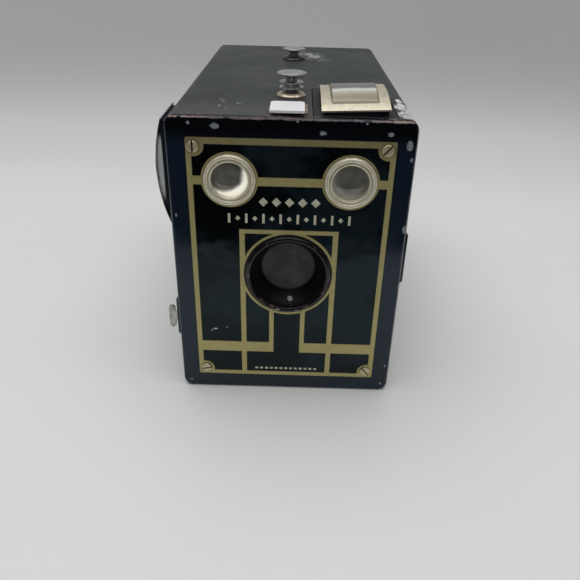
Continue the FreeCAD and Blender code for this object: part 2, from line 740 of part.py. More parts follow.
def make_slides():
    """The two pull tabs: one changes the stop, the other holds the shutter open."""
    y0, y1 = aperture_y, aperture_y + blade_sheet
    z0, z1 = tab_slots[0]
    web = box(-19, 20, y0, y1, lens_z - 7.3, lens_z + 7.3)
    strip = box(8, half + guide_proud + 0.6, y0, y1, z0, z1)
    tip = box(half + guide_proud + 0.1, half + guide_proud + 0.6, y0, y0 + 1.4, z0, z1)
    cuts = [rod_y(5.0, 0, 20, 0, lens_z), rod_y(3.6, 0, 20, -aperture_travel, lens_z)]
    cuts.append(box(rivet_places[0][0] - aperture_travel - 1.2, rivet_places[0][0] + 1.2,
                    0, 20, rivet_places[0][1] - 1.05, rivet_places[0][1] + 1.05))
    put("aperture_slide", joined([web, strip, tip]).cut(cuts))

    y0, y1 = time_y, time_y + blade_sheet
    z0, z1 = tab_slots[1]
    strip = box(13, half + guide_proud + 0.6, y0, y1, z0, z1)
    tip = box(half + guide_proud + 0.1, half + guide_proud + 0.6, y1 - 1.3, y1, z0, z1)
    slot = box(rivet_places[1][0] - time_travel - 1.2, rivet_places[1][0] + 1.2,
               0, 20, rivet_places[1][1] - 1.05, rivet_places[1][1] + 1.05)
    put("time_slide", joined([strip, tip]).cut(slot))


def rivet(r, head, layer, x, z):
    """Headed pin that stands on the shutter plate and reaches to just in front of a layer."""
    pin = rod_y(r, layer - 0.3, shutter_y + 0.8, x, z)
    return joined([pin, rod_y(head, layer - 0.3, layer - 0.1, x, z)])


def make_shutter_rivets():
    """Pivots of the disc and the lever, and the guide rivets of the two slides."""
    rivets = [rivet(pivot_r, 2.4, disc_y, disc_x, disc_z),
              rivet(pivot_r, 2.0, lever_y - 0.9, lever_x, lever_z)]
    for (x, z), layer in zip(rivet_places, (aperture_y, time_y)):
        rivets.append(rivet(1.0, 1.7, layer, x, z))
    put("shutter_rivets", Part.makeCompound(rivets))


# ---- taking lens, light cone and film carrier ---------------------------------------------
lens_r = 8.4


def make_taking_lens():
    cell = turned([(lens_r, shutter_y + 0.8), (10.4, shutter_y + 0.8), (10.4, cone_y),
                   (lens_r, cone_y)], 0, lens_z)
    put("lens_cell", cell)
    rear_r, front_r = 22.0, 26.0
    rear_ball = Part.makeSphere(rear_r, V(0, cone_y - 0.6 - rear_r, lens_z))
    front_ball = Part.makeSphere(front_r, V(0, cone_y - 2.6 - front_r, lens_z))
    blank = rod_y(lens_r, shutter_y + 1.5, cone_y - 0.1, 0, lens_z)
    put("meniscus_lens", blank.common(rear_ball).cut(front_ball))
    ring = Part.makeTorus(lens_r - 0.35, 0.3, V(0, shutter_y + 1.15, lens_z), V(0, 1, 0))
    put("lens_retainer", ring)


cone_small = 11.0         # half width of the light cone's front end


def cone_wall(flat, side):
    """One wall of the light cone, mitred at its corners: a flat one is above or below."""
    rings = []
    for w, h, y in ((cone_small, cone_small, cone_y + sheet),
                    (gate_w / 2 + sheet, gate_h / 2 + sheet, gate_y)):
        if flat:
            ends = ((-w, h), (w, h), (w - sheet, h - sheet), (sheet - w, h - sheet))
        else:
            ends = ((w, -h), (w, h), (w - sheet, h - sheet), (w - sheet, sheet - h))
        corners = [V(side * x, y, lens_z + side * z) for x, z in ends]
        rings.append(Part.makePolygon(corners + corners[:1]))
    return Part.makeLoft(rings, True, True)


def make_light_cone():
    """Tapered tunnel from the lens to the film gate: a front plate and two pairs of flat walls."""
    front = box(-cone_small, cone_small, cone_y, cone_y + sheet,
                lens_z - cone_small, lens_z + cone_small)
    put("light_cone_front", front.cut(rod_y(lens_r - 0.6, 0, 20, 0, lens_z)))
    put("light_cone_sides", Part.makeCompound([cone_wall(False, side) for side in (-1, 1)]))
    put("light_cone_floor_and_roof", Part.makeCompound([cone_wall(True, side) for side in (-1, 1)]))


roller_r = 1.9
roller_y = 136.8
roller_rise = 43.8
roller_pin_r = 1.0
slot_half = boss_r + run_gap
carrier_back = 139.2
carrier_high = 96.6
carrier_low = 5.0
carrier_step_y = 46.5
carrier_front_z = side_box[2] - 2.5


def make_film_gate():
    frame = box(-33.4, 33.4, gate_y, gate_y + 0.9, lens_z - 41.9, lens_z + 41.9)
    wings = box(-carrier_in, carrier_in, gate_y, gate_y + 0.9, supply_z + 6, takeup_z - 6)
    hole = box(-gate_w / 2, gate_w / 2, gate_y - 1, gate_y + 2,
               lens_z - gate_h / 2, lens_z + gate_h / 2)
    put("film_gate", joined([frame, wings]).cut(hole))


def carrier_plate(x0, x1):
    """Side plate with two slots, open to the rear, that hold the ends of the spools."""
    points = [(shutter_y + 0.8, carrier_low), (carrier_back, carrier_low),
              (carrier_back, carrier_high), (carrier_step_y, carrier_high),
              (carrier_step_y, carrier_front_z), (shutter_y + 0.8, carrier_front_z)]
    plate = plate_yz(points, x0, x1)
    cuts = []
    for z in (takeup_z, supply_z):
        cuts.append(rod_x(slot_half, x0 - 1, x1 + 1, spool_y, z))
        cuts.append(box(x0 - 1, x1 + 1, spool_y, carrier_back + 1, z - slot_half, z + slot_half))
    for z in (lens_z - roller_rise, lens_z + roller_rise):
        cuts.append(rod_x(roller_pin_r + run_gap, x0 - 1, x1 + 1, roller_y, z))
    return plate.cut(cuts)


def film_roller(z):
    body = rod_x(roller_r, -34.9, 34.9, roller_y, z)
    pin = rod_x(roller_pin_r, -carrier_out, carrier_out, roller_y, z)
    return joined([body, pin])


def brake_leaf(side, z):
    """Leaf spring on a carrier plate that rubs on the end of a spool."""
    end = spool_len / 2 + 0.3
    points = [V(side * carrier_in, 36, z), V(side * carrier_in, 44, z),
              V(side * (end + 0.35), 52.6, z),
              V(side * (end + 0.35), 54.6, z), V(side * end, 54.6, z), V(side * end, 52.4, z),
              V(side * (carrier_in - 0.4), 43.4, z), V(side * (carrier_in - 0.4), 36, z)]
    leaf = Part.Face(Part.makePolygon(points + points[:1])).extrude(V(0, 0, 6))
    leaf.translate(V(0, 0, -3))
    return leaf


def make_carrier():
    plates = [carrier_plate(-carrier_out, -carrier_in), carrier_plate(carrier_in, carrier_out)]
    put("carrier_plates", Part.makeCompound(plates))
    put("film_roller_top", film_roller(lens_z + roller_rise))
    put("film_roller_bottom", film_roller(lens_z - roller_rise))
    leaves = [brake_leaf(1, supply_z), brake_leaf(-1, supply_z)]
    put("spool_springs", Part.makeCompound(leaves))


def make_takeup_spool():
    """Empty spool: a core with a boss at each end, and two thin flanges."""
    end = spool_len / 2
    core = rod_x(3.4, -end, end, spool_y, takeup_z)
    bosses = [rod_x(boss_r, -carrier_out + 0.1, -end, spool_y, takeup_z),
              rod_x(boss_r, end, carrier_out - 0.1, spool_y, takeup_z)]
    key_slot = box(-40, blade_tip + 0.2, spool_y - 8, spool_y + 8,
                   takeup_z - blade_t / 2 - 0.2, takeup_z + blade_t / 2 + 0.2)
    film_slot = box(-22, 22, spool_y - 0.5, spool_y + 0.5, takeup_z - 8, takeup_z + 8)
    put("spool_core", joined([core] + bosses).cut([key_slot, film_slot]))
    discs = []
    for x0 in (-end, end - 0.9):
        disc = rod_x(flange_r, x0, x0 + 0.9, spool_y, takeup_z)
        discs.append(disc.cut(rod_x(3.4, x0 - 1, x0 + 2, spool_y, takeup_z)))
    put("spool_flanges", Part.makeCompound(discs))


# ---- the whole camera ---------------------------------------------------------------------
put("shell", make_shell())
put("back_panel", make_back_panel())
make_covers()
make_red_window()
make_posts()
make_catch()
make_winding()
make_front_panel()
make_face_plate()
make_face_trim()
make_screws()
make_lens_hood()
make_finder_fronts()
make_top_finder()
make_side_finder()
make_tray()
make_guides()
make_shutter_plate()
make_shutter_disc()
make_shutter_lever()
make_slides()
make_shutter_rivets()
make_taking_lens()
make_light_cone()
make_film_gate()
make_carrier()
make_takeup_spool()
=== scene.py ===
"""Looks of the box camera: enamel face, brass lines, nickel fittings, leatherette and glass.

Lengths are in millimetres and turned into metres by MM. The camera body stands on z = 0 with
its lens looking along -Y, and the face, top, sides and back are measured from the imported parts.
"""
import math

import bmesh
import bpy
from mathutils import Euler, Matrix, Vector


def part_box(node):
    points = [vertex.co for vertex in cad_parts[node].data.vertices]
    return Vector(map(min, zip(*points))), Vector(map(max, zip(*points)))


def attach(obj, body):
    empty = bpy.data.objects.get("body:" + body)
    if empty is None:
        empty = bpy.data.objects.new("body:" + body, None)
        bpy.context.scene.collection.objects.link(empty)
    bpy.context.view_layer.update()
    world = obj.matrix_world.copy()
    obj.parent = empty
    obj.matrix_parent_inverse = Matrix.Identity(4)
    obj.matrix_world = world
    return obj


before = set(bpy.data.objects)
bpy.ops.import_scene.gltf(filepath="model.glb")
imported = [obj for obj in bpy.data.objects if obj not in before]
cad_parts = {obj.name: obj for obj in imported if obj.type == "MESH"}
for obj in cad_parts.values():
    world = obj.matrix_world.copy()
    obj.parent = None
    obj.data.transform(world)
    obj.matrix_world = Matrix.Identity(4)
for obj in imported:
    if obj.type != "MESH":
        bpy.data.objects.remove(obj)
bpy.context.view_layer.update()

MM = 0.001


def span(node):
    """Lowest and highest corner of a part, in millimetres."""
    low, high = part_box(node)
    return low / MM, high / MM


# ---- places taken from the parts ------------------------------------------------------------
panel_low, panel_high = span("front_panel")
FACE_Y = panel_low.y                      # front of the enamelled panel
TOP_Z = panel_high.z
HALF_W = panel_high.x
PLATE_Y = span("face_plate")[0].y         # front of the face plate
SCREW_Y = span("face_screws")[0].y        # front of the screw heads
BACK_Y = span("leatherette_back")[1].y


# ---- node materials -------------------------------------------------------------------------
class Finish:
    """One procedural material. Its coordinates are millimetres in the camera's own frame."""

    def __init__(self, name):
        self.material = bpy.data.materials.new(name)
        self.material.use_nodes = True
        self.tree = self.material.node_tree
        self.tree.nodes.clear()
        output = self.add("ShaderNodeOutputMaterial")
        self.bsdf = self.add("ShaderNodeBsdfPrincipled")
        self.tree.links.new(self.bsdf.outputs[0], output.inputs[0])
        where = self.add("ShaderNodeTexCoord").outputs["Object"]
        self.mm = self.vector("SCALE", where, scale=1 / MM)
        parts = self.add("ShaderNodeSeparateXYZ")
        self.feed(parts.inputs[0], self.mm)
        self.x, self.y, self.z = parts.outputs

    def add(self, kind, **settings):
        node = self.tree.nodes.new(kind)
        for key, value in settings.items():
            setattr(node, key, value)
        return node

    def feed(self, socket, value):
        """Links a socket, or sets a constant on it."""
        if isinstance(value, bpy.types.NodeSocket):
            self.tree.links.new(value, socket)
        elif isinstance(value, (tuple, list)) and len(value) == 3 and socket.type == "RGBA":
            socket.default_value = (*value, 1.0)
        else:
            socket.default_value = value

    def set(self, **inputs):
        """Principled inputs by name, with _ for a space."""
        for key, value in inputs.items():
            self.feed(self.bsdf.inputs[key.replace("_", " ")], value)
        return self.material

    def vector(self, operation, a, b=None, scale=None):
        node = self.add("ShaderNodeVectorMath", operation=operation)
        self.feed(node.inputs[0], a)
        if b is not None:
            self.feed(node.inputs[1], b)
        if scale is not None:
            node.inputs["Scale"].default_value = scale
        return node.outputs["Value" if operation in ("LENGTH", "DOT_PRODUCT") else "Vector"]

    def math(self, operation, a, b=0.0):
        node = self.add("ShaderNodeMath", operation=operation)
        self.feed(node.inputs[0], a)
        self.feed(node.inputs[1], b)
        return node.outputs[0]

    def remap(self, value, low, high, to_low=0.0, to_high=1.0):
        """Smooth step from low..high to to_low..to_high, held at both ends."""
        node = self.add("ShaderNodeMapRange", interpolation_type="SMOOTHSTEP")
        for socket, number in zip(node.inputs, (value, low, high, to_low, to_high)):
            self.feed(socket, number)
        return node.outputs[0]

    def noise(self, per_mm, detail=2.0, rough=0.5, stretch=(1, 1, 1), seed=0.0):
        node = self.add("ShaderNodeTexNoise", noise_dimensions="4D")
        self.feed(node.inputs["Vector"], self.vector("MULTIPLY", self.mm, stretch))
        node.inputs["W"].default_value = seed
        node.inputs["Scale"].default_value = per_mm
        node.inputs["Detail"].default_value = detail
        node.inputs["Roughness"].default_value = rough
        return node.outputs["Fac"]

    def cells(self, per_mm, feature="F1", seed=0.0):
        node = self.add("ShaderNodeTexVoronoi", feature=feature, voronoi_dimensions="4D")
        self.feed(node.inputs["Vector"], self.mm)
        node.inputs["W"].default_value = seed
        node.inputs["Scale"].default_value = per_mm
        return node.outputs["Distance"]

    def mix(self, factor, a, b):
        node = self.add("ShaderNodeMix", data_type="RGBA")
        self.feed(node.inputs[0], factor)
        self.feed(node.inputs[6], a)
        self.feed(node.inputs[7], b)
        return node.outputs[2]

    def blend(self, factor, a, b):
        node = self.add("ShaderNodeMix", data_type="FLOAT")
        self.feed(node.inputs[0], factor)
        self.feed(node.inputs[2], a)
        self.feed(node.inputs[3], b)
        return node.outputs[0]

    def bump(self, height, depth_mm, under=None):
        """Surface relief of the given depth, on top of another relief if there is one."""
        node = self.add("ShaderNodeBump")
        node.inputs["Strength"].default_value = 1.0
        node.inputs["Distance"].default_value = depth_mm * MM
        self.feed(node.inputs["Height"], height)
        if under is not None:
            self.feed(node.inputs["Normal"], under)
        return node.outputs[0]

    def edge(self, radius_mm):
        """1 along the convex and concave edges of the shape, 0 on its open surfaces."""
        round_over = self.add("ShaderNodeBevel", samples=6)
        round_over.inputs["Radius"].default_value = radius_mm * MM
        flat = self.add("ShaderNodeNewGeometry").outputs["Normal"]
        same = self.vector("DOT_PRODUCT", round_over.outputs[0], flat)
        return self.remap(same, 0.99, 0.88)

    def spots(self, places, rag=0.35, grain=1.1, seed=3.0):
        """1 inside ragged ellipses; a place is (centre, radii), and a radius of 0 is endless."""
        torn = self.math("SUBTRACT", self.noise(grain, 3.0, 0.6, seed=seed), 0.5)
        torn = self.math("MULTIPLY", torn, 2 * rag)
        mask = None
        for centre, radii in places:
            near = self.vector("SUBTRACT", self.mm, tuple(centre))
            near = self.vector("MULTIPLY", near, tuple(1 / r if r else 0.0 for r in radii))
            inside = self.remap(self.math("ADD", self.vector("LENGTH", near), torn), 1.08, 0.92)
            mask = inside if mask is None else self.math("MAXIMUM", mask, inside)
        return mask

    def line_wear(self, distance, width, per_mm=0.35, seed=7.0, amount=0.5):
        """Broken wear that fades out `width` away from where distance is 0."""
        patchy = self.noise(per_mm, 4.0, 0.65, seed=seed)
        reach = self.math("MULTIPLY", self.remap(patchy, 0.5 - amount, 0.75), width)
        past = self.math("SUBTRACT", self.math("ABSOLUTE", distance), reach)
        return self.remap(past, 0.12, -0.12)


def face_spot(x, z, rx, rz):
    return (x, 0, z), (rx, 0, rz)


def top_spot(x, back, rx, ry):
    """A place on top of the body, `back` millimetres behind the front face."""
    return (x, FACE_Y + back, 0), (rx, ry, 0)


# Places where the enamel of the face is chipped: x, z and half sizes.
FACE_CHIPS = [face_spot(*c) for c in (
    (-31.8, 102.8, 0.45, 0.45), (-23.6, 102.0, 1.35, 0.9), (9.7, 100.6, 1.05, 0.7),
    (30.8, 100.7, 1.0, 0.65), (37.0, 97.3, 1.0, 1.6), (38.0, 92.9, 0.4, 0.75),
    (38.5, 69.0, 0.6, 1.45), (23.2, 103.9, 0.4, 0.35), (2.0, 104.0, 0.45, 0.35),
    (-37.6, 72.0, 0.35, 0.6), (37.8, 12.0, 0.3, 0.7), (-36.5, 3.0, 0.7, 0.4), 
    (36.8, 3.4, 0.5, 0.6))]


def navy_enamel():
    """Gloss navy enamel, worn to primer along its edges: grey-brown, pinker at the top corners."""
    f = Finish("navy_enamel")
    cloud = f.noise(0.05, 3.0, seed=1.0)
    paint = f.mix(cloud, (0.0040, 0.0072, 0.0165), (0.0080, 0.0138, 0.0260))
    top = f.math("SUBTRACT", f.z, TOP_Z - 0.5)
    forward = f.math("SUBTRACT", f.y, FACE_Y + 0.35)
    edge_top = f.line_wear(f.math("ADD", f.math("ABSOLUTE", top), f.math("ABSOLUTE", forward)),
                           0.95, 0.35, seed=11.0, amount=0.26)
    rub = f.noise(0.12, 4.0, 0.7, seed=5.0)
    rim_top = f.math("MULTIPLY", f.remap(f.z, TOP_Z - 0.6, TOP_Z - 0.15), f.remap(rub, 0.50, 0.66))
    side = f.math("SUBTRACT", f.math("ABSOLUTE", f.x), HALF_W - 0.35)
    arris = f.math("ADD", f.math("ABSOLUTE", side), f.math("ABSOLUTE", forward))
    edge_side = f.line_wear(arris, 0.75, 0.22, seed=19.0, amount=0.22)
    edge_side = f.math("MULTIPLY", edge_side, f.remap(f.x, -HALF_W + 4.0, -HALF_W + 6.0))
    low = f.math("ADD", f.math("ABSOLUTE", f.math("SUBTRACT", f.z, 0.35)),
                 f.math("ABSOLUTE", forward))
    edge_low = f.line_wear(low, 0.6, 0.25, seed=29.0, amount=0.15)
    worn = f.math("MAXIMUM", f.math("MAXIMUM", edge_top, rim_top),
                  f.math("MAXIMUM", edge_side, edge_low))
    primer = f.mix(f.noise(0.6, 3.0, seed=2.0), (0.060, 0.042, 0.042), (0.185, 0.145, 0.150))
    primer = f.mix(f.remap(f.x, 4.0, 12.0), primer, (0.135, 0.110, 0.130))
    upper_corners = f.math("MULTIPLY", f.remap(f.math("ABSOLUTE", f.x), 22.0, 35.0),
                           f.remap(f.z, TOP_Z - 8.0, TOP_Z - 3.0))
    primer = f.mix(upper_corners, primer, (0.300, 0.222, 0.202))
    # painted shade: the navy is made darker over the top 9 mm of the face
    paint = f.mix(f.remap(f.z, TOP_Z - 9.0, TOP_Z - 4.0), paint, (0.0026, 0.0028, 0.0040))
    colour = f.mix(worn, paint, primer)
    grey_spots = f.spots(FACE_CHIPS, 0.95, 1.8)
    metal = f.mix(f.noise(0.9, 3.0, seed=4.0), (0.095, 0.103, 0.115), (0.28, 0.295, 0.32))
    colour = f.mix(grey_spots, colour, metal)
    bare = f.math("MAXIMUM", worn, grey_spots)
    smear = f.noise(0.09, 4.0, 0.6, stretch=(1, 1, 0.6), seed=8.0)
    gloss = f.remap(smear, 0.35, 0.7, 0.10, 0.24)
    relief = f.bump(f.noise(0.06, 1.0, seed=6.0), 0.35)
    relief = f.bump(f.noise(1.6, 3.0, seed=9.0), 0.012, relief)
    relief = f.bump(f.math("SUBTRACT", 1.0, bare), 0.08, relief)
    return f.set(Base_Color=colour, Roughness=f.blend(bare, gloss, 0.55), Normal=relief,
                 IOR=1.52, Specular_IOR_Level=f.remap(f.z, TOP_Z - 10.0, TOP_Z - 5.0, 0.40, 0.16),
                 Specular_Tint=(0.80, 0.95, 1.0, 1.0))


def plate_enamel():
    """Gloss black enamel of the face plate, with a faint green cast and a few scratches."""
    f = Finish("plate_enamel")
    cloud = f.noise(0.045, 3.0, 0.6, seed=31.0)
    paint = f.mix(f.remap(cloud, 0.42, 0.57), (0.0013, 0.0021, 0.0026), (0.0062, 0.0108, 0.0145))
    scratch = f.spots([face_spot(-26.3, 27.3, 0.9, 0.28), face_spot(-22.0, 28.1, 0.35, 0.16),
                       face_spot(-27.6, 26.6, 0.4, 0.2)], 0.3, 2.0)
    colour = f.mix(scratch, paint, (0.45, 0.46, 0.46))
    smear = f.noise(0.07, 4.0, 0.65, seed=33.0)
    gloss = f.remap(smear, 0.35, 0.68, 0.07, 0.20)
    relief = f.bump(f.noise(0.075, 2.0, 0.55, seed=35.0), 0.45)
    relief = f.bump(f.noise(2.2, 2.0, seed=36.0), 0.008, relief)
    return f.set(Base_Color=colour, Roughness=gloss, Normal=relief, IOR=1.52,
                 Specular_IOR_Level=0.25, Specular_Tint=(0.70, 0.92, 1.0, 1.0))


def hood_enamel():
    """Gloss black funnel, rubbed at the rim, with grey spots at its bottom: two of them are painted
    highlights.
    """
    f = Finish("hood_enamel")
    paint = f.mix(f.noise(0.3, 3.0, seed=41.0), (0.0022, 0.0022, 0.0028), (0.008, 0.007, 0.009))
    # grey spots near the bottom of the funnel; the two low, wide ones at the bottom of the rim are
    # painted highlights
    grey_spots = f.spots([face_spot(0.9, 39.4, 0.9, 0.6), face_spot(3.4, 42.8, 0.4, 0.3),
                     face_spot(-3.6, 37.3, 1.0, 0.28), face_spot(3.3, 37.0, 0.9, 0.25)], 0.3, 1.6)
    rubbed = f.math("MULTIPLY", f.remap(f.y, FACE_Y - 0.9, FACE_Y - 1.25),
                    f.remap(f.noise(0.35, 4.0, 0.7, seed=43.0), 0.52, 0.66))
    colour = f.mix(grey_spots, paint, (0.26, 0.26, 0.265))
    colour = f.mix(rubbed, colour, (0.075, 0.045, 0.05))
    gloss = f.remap(f.noise(0.2, 3.0, seed=44.0), 0.3, 0.7, 0.10, 0.26)
    rim = f.remap(f.y, FACE_Y - 0.35, FACE_Y - 0.8)
    relief = f.bump(f.noise(0.7, 3.0, seed=45.0), 0.03)
    return f.set(Base_Color=colour, Roughness=f.blend(rim, 0.42, gloss), Normal=relief, IOR=1.5,
                 Specular_IOR_Level=f.blend(rim, 0.16, 0.45))


def brass_line():
    """Dull pale brass lines, darkened brown along their edges as painted shade."""
    f = Finish("brass_line")
    pale = f.mix(f.noise(0.12, 4.0, 0.6, seed=51.0), (0.235, 0.202, 0.090), (0.360, 0.318, 0.160))
    warm = f.mix(f.noise(0.2, 3.0, seed=52.0), (0.370, 0.325, 0.135), (0.480, 0.430, 0.195))
    low_bars = f.remap(f.z, 96.0, 92.0)
    body = f.mix(low_bars, pale, warm)
    grime = f.remap(f.noise(0.9, 4.0, 0.7, seed=53.0), 0.56, 0.72)
    body = f.mix(f.math("MULTIPLY", grime, 0.45), body, (0.10, 0.085, 0.045))
    # painted shade: dark brown along the edges of the lines
    colour = f.mix(f.math("MULTIPLY", f.edge(0.30), 0.85), body, (0.028, 0.021, 0.012))
    relief = f.bump(f.noise(3.0, 3.0, 0.6, seed=54.0), 0.012)
    return f.set(Base_Color=colour, Metallic=0.5, Normal=relief,
                 Roughness=f.remap(f.noise(0.4, 3.0, seed=55.0), 0.3, 0.7, 0.38, 0.54))


def nickel(name, bright, dull, gloss=(0.12, 0.28), dirt=0.35, seed=60.0, metallic=1.0,
           rear=None, slot_y=None):
    """Nickel plate with cloudy tarnish, fine scratches and dirt in its creases; painted shade
    inside screw slots and over the rear, where asked.
    """
    f = Finish(name)
    cloud = f.remap(f.noise(0.5, 4.0, 0.6, seed=seed), 0.38, 0.66)
    colour = f.mix(cloud, bright, dull)
    grime = f.math("MULTIPLY", f.edge(0.35), f.remap(f.noise(1.4, 3.0, seed=seed + 1), 0.4, 0.62))
    colour = f.mix(f.math("MULTIPLY", grime, dirt), colour, (0.10, 0.075, 0.045))
    specks = f.remap(f.noise(2.6, 3.0, 0.6, seed=seed + 2), 0.66, 0.74)
    colour = f.mix(f.math("MULTIPLY", specks, dirt), colour, (0.13, 0.11, 0.08))
    # painted shade: everything behind slot_y, inside the screw slots, is made dark
    if slot_y is not None:
        colour = f.mix(f.remap(f.y, slot_y - 0.04, slot_y + 0.02), colour, (0.035, 0.028, 0.018))
    # painted shade: the colour turns to the given dark colour towards the rear
    if rear is not None:
        colour = f.mix(f.remap(f.y, -12.0, 12.0), colour, rear)
    fine = f.noise(1.0, 3.0, 0.7, stretch=(0.4, 3.0, 3.0), seed=seed + 3)
    rough = f.math("ADD", f.remap(cloud, 0.0, 1.0, *gloss),
                   f.math("MULTIPLY", f.remap(fine, 0.5, 0.75), 0.08))
    relief = f.bump(fine, 0.006)
    relief = f.bump(f.noise(0.35, 2.0, seed=seed + 4), 0.04, relief)
    return f.set(Base_Color=colour, Metallic=metallic, Roughness=rough, Normal=relief)


def frame_nickel():
    """Yellowed nickel of the bowed window frames."""
    f = Finish("frame_nickel")
    ivory = f.mix(f.noise(0.25, 4.0, 0.6, seed=71.0), (0.66, 0.58, 0.41), (0.80, 0.76, 0.64))
    stain = f.remap(f.noise(0.5, 4.0, 0.65, seed=72.0), 0.55, 0.75)
    colour = f.mix(f.math("MULTIPLY", stain, 0.5), ivory, (0.42, 0.34, 0.19))
    colour = f.mix(f.math("MULTIPLY", f.edge(0.30), 0.30), colour, (0.22, 0.17, 0.10))
    on_side = f.remap(f.x, 2.0 - HALF_W, -HALF_W)
    painted = f.math("MULTIPLY", on_side, f.remap(f.z, 79.0, 74.0))
    colour = f.mix(on_side, colour, f.mix(stain, (0.40, 0.41, 0.41), (0.24, 0.245, 0.25)))
    covered = f.math("MULTIPLY", on_side, f.remap(f.z, 96.5, 98.5))
    painted = f.math("MAXIMUM", painted, covered)
    colour = f.mix(painted, colour, (0.011, 0.015, 0.024))
    relief = f.bump(f.noise(1.1, 4.0, 0.6, seed=73.0), 0.02)
    relief = f.bump(f.noise(0.15, 2.0, seed=74.0), 0.08, relief)
    return f.set(Base_Color=colour, Metallic=f.blend(painted, 0.75, 0.0), Normal=relief,
                 Roughness=f.remap(f.noise(0.8, 3.0, seed=75.0), 0.3, 0.7, 0.26, 0.42))


def leatherette():
    """Black leatherette: fine pebbled grain, patchy sheen, rubbed edges and a few scuffs."""
    f = Finish("leatherette")
    pebble = f.cells(2.1, "SMOOTH_F1", seed=81.0)
    crease = f.cells(1.25, "DISTANCE_TO_EDGE", seed=82.0)
    fade = f.remap(f.noise(0.035, 4.0, 0.6, seed=83.0), 0.3, 0.7)
    base = f.mix(fade, (0.0150, 0.0205, 0.0215), (0.0260, 0.0330, 0.0340))
    patch = f.remap(f.noise(0.11, 4.0, 0.7, seed=84.0), 0.5, 0.7)
    base = f.mix(f.math("MULTIPLY", patch, 0.5), base, (0.025, 0.028, 0.025))
    base = f.mix(f.math("MULTIPLY", f.remap(crease, 0.10, 0.0), 0.5), base, (0.006, 0.0065, 0.007))
    # painted light: the leatherette is made lighter within the front 26 mm
    base = f.mix(f.remap(f.y, FACE_Y + 26.0, FACE_Y + 4.0), base, (0.040, 0.042, 0.043))
    rub = f.noise(0.16, 5.0, 0.7, seed=85.0)
    side = f.math("SUBTRACT", HALF_W - 0.9, f.math("ABSOLUTE", f.x))
    up = f.math("SUBTRACT", TOP_Z - 0.9, f.z)
    near_edge = f.remap(f.math("ADD", f.math("ABSOLUTE", side), f.math("ABSOLUTE", up)), 2.6, 0.4)
    inward = f.math("MINIMUM", f.math("SUBTRACT", HALF_W, f.math("ABSOLUTE", f.x)),
                    f.math("MINIMUM", f.math("SUBTRACT", TOP_Z, f.z), f.z))
    back_edge = f.math("MULTIPLY", f.remap(f.y, BACK_Y - 1.4, BACK_Y - 0.2),
                       f.remap(inward, 2.6, 0.9))
    front_edge = f.math("MULTIPLY", f.remap(f.y, FACE_Y + 4.6, FACE_Y + 2.6), 0.8)
    edges = f.math("MAXIMUM", f.math("MAXIMUM", near_edge, back_edge), front_edge)
    rubbed = f.math("MULTIPLY", edges, f.remap(rub, 0.44, 0.62))
    colour = f.mix(f.math("MULTIPLY", rubbed, 0.75), base, (0.105, 0.092, 0.085))
    dust = f.spots([top_spot(7.0, 115.0, 7.0, 9.0), top_spot(1.5, 125.0, 3.5, 5.0),
                    top_spot(13.0, 104.5, 3.0, 4.5)], 0.9, 0.35, seed=86.0)
    speck = f.remap(f.noise(0.9, 5.0, 0.75, seed=87.0), 0.50, 0.66)
    colour = f.mix(f.math("MULTIPLY", dust, speck), colour, (0.46, 0.47, 0.47))
    heart = f.spots([top_spot(8.8, 113.0, 2.6, 4.4), top_spot(6.4, 120.0, 1.8, 3.4)], 0.6, 0.8,
                    seed=88.0)
    crumbs = f.remap(f.noise(0.8, 5.0, 0.8, seed=96.0), 0.40, 0.66, 0.12, 1.0)
    heart = f.math("MULTIPLY", heart, crumbs)
    colour = f.mix(heart, colour, (0.44, 0.45, 0.45))
    scratch = f.noise(0.35, 4.0, 0.7, stretch=(2.2, 0.5, 1), seed=89.0)
    field = f.spots([top_spot(-23.0, 13.5, 7.5, 9.0)], 0.9, 0.3, seed=90.0)
    colour = f.mix(f.math("MULTIPLY", field, f.remap(scratch, 0.58, 0.66)), colour,
                   (0.26, 0.26, 0.26))
    worn = f.spots([top_spot(36.6, 7.6, 2.9, 5.2), top_spot(36.2, 18.2, 2.5, 4.9),
                    top_spot(36.4, 26.4, 1.2, 2.8), top_spot(38.0, 2.6, 2.4, 1.2),
                    top_spot(37.3, 12.8, 0.9, 2.2), top_spot(36.2, 22.6, 0.7, 2.2)], 0.75, 1.0,
                   seed=91.0)
    on_top = f.remap(f.z, TOP_Z - 2.6, TOP_Z - 2.2)
    worn = f.math("MULTIPLY", worn, on_top)
    silver = f.mix(f.remap(f.noise(0.9, 4.0, 0.6, seed=92.0), 0.42, 0.58), (0.24, 0.245, 0.25),
                   (0.72, 0.73, 0.72))
    colour = f.mix(worn, colour, silver)
    flat = f.math("MAXIMUM", worn, heart)
    grain = f.math("SUBTRACT", f.remap(pebble, 0.0, 0.45, 1.0, 0.0),
                   f.math("MULTIPLY", f.remap(crease, 0.08, 0.0), 0.6))
    relief = f.bump(f.noise(0.03, 2.0, seed=93.0), 0.9)
    relief = f.bump(f.math("MULTIPLY", grain, f.math("SUBTRACT", 1.0, flat)), 0.055, relief)
    relief = f.bump(f.math("SUBTRACT", 1.0, worn), 0.12, relief)
    rough = f.remap(f.noise(0.06, 4.0, 0.6, seed=94.0), 0.3, 0.7, 0.38, 0.54)
    return f.set(Base_Color=colour, Roughness=f.blend(flat, rough, 0.42), Normal=relief,
                 Sheen_Weight=0.03, Sheen_Roughness=0.45, IOR=1.5,
                 Specular_IOR_Level=0.36)


